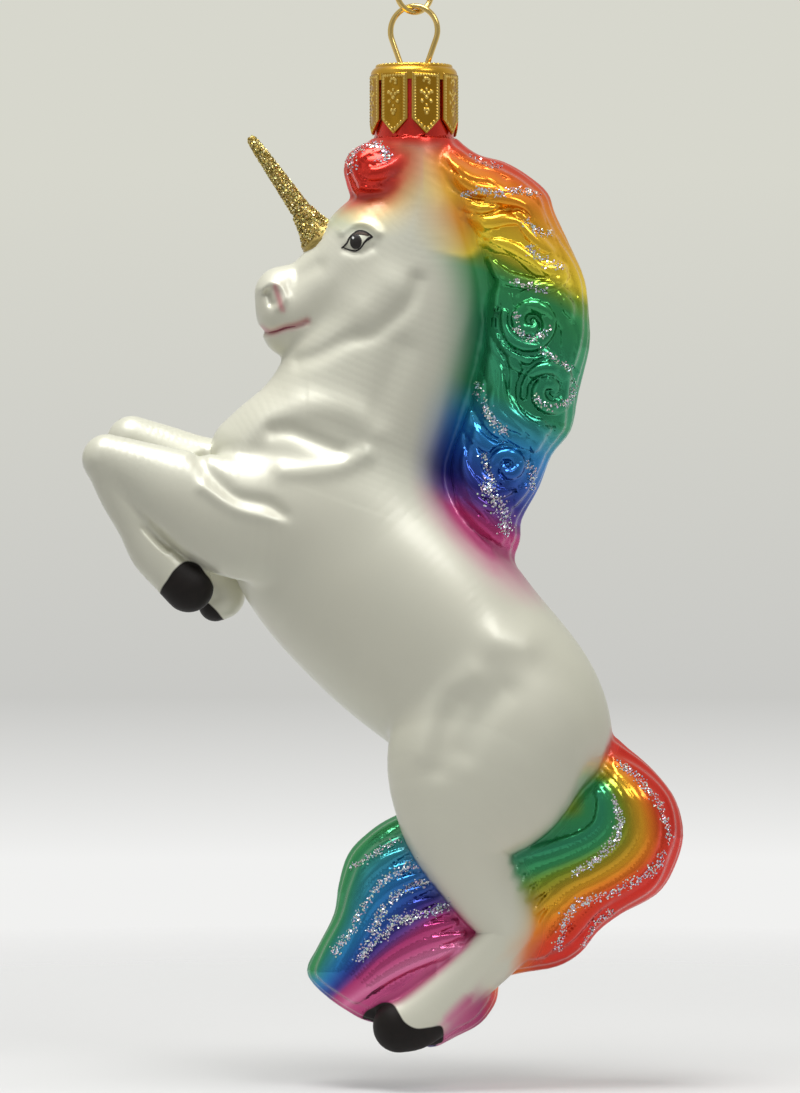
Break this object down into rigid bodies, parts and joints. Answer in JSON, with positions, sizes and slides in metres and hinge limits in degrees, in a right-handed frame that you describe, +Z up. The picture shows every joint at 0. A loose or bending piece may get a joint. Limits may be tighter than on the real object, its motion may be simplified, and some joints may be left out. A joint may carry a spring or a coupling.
{
  "type": "unicorn tree ornament",
  "caption": "Blown-glass rearing unicorn ornament with swept mane and tail, a glued horn, a petal crown cap and a wire hanger with an upper ring.",
  "frame": {"origin": "where a hook bears on the inside of the upper ring, above the neck's axis", "axes": "+Z up along the hanging line and the neck's axis, -X the way the figure faces, -Y its near side as seen in the picture"},
  "size_m": [0.0831, 0.0276, 0.1516],
  "materials": {
    "pearl_lacquer": "satin pearl lacquer over blown glass",
    "rainbow_lacquer": "clear coloured lacquer over silvered glass",
    "red_lacquer": "clear coloured lacquer over silvered glass",
    "hoof_paint": "matt brown-black paint over glass",
    "gold_glitter": "glitter set in clear glue",
    "gold_metal": "stamped, gold lacquered",
    "gold_wire": "bright gold wire"
  },
  "bodies": {
    "ring": {"jump_ring": "gold_wire"},
    "hanger": {"hanger_wire": "gold_wire"},
    "cap": {"crown_cap": "gold_metal"},
    "figure": {"glass_body": "pearl_lacquer", "mane": "rainbow_lacquer", "forelock": "red_lacquer", "tail": "rainbow_lacquer", "hoof_fore_near": "hoof_paint", "hoof_fore_far": "hoof_paint", "hoof_hind_near": "hoof_paint", "hoof_hind_far": "hoof_paint", "horn": "gold_glitter", "horn_glue": "gold_glitter"}
  },
  "joints": [
    {"name": "ring_swing", "type": "hinge", "parent": "ring", "child": "hanger", "pos_m": [0, 0, -0.0053], "axis": [0.848, 0.5299, 0], "range_deg": [-50, 50]},
    {"name": "hanger_rock", "type": "hinge", "parent": "hanger", "child": "cap", "pos_m": [0, 0, -0.01325], "axis": [0.9511, -0.309, 0], "range_deg": [-5, 5]},
    {"name": "cap_pull", "type": "slide", "parent": "cap", "child": "figure", "axis": [0, 0, -1], "range_m": [0, 0.016]}
  ]
}
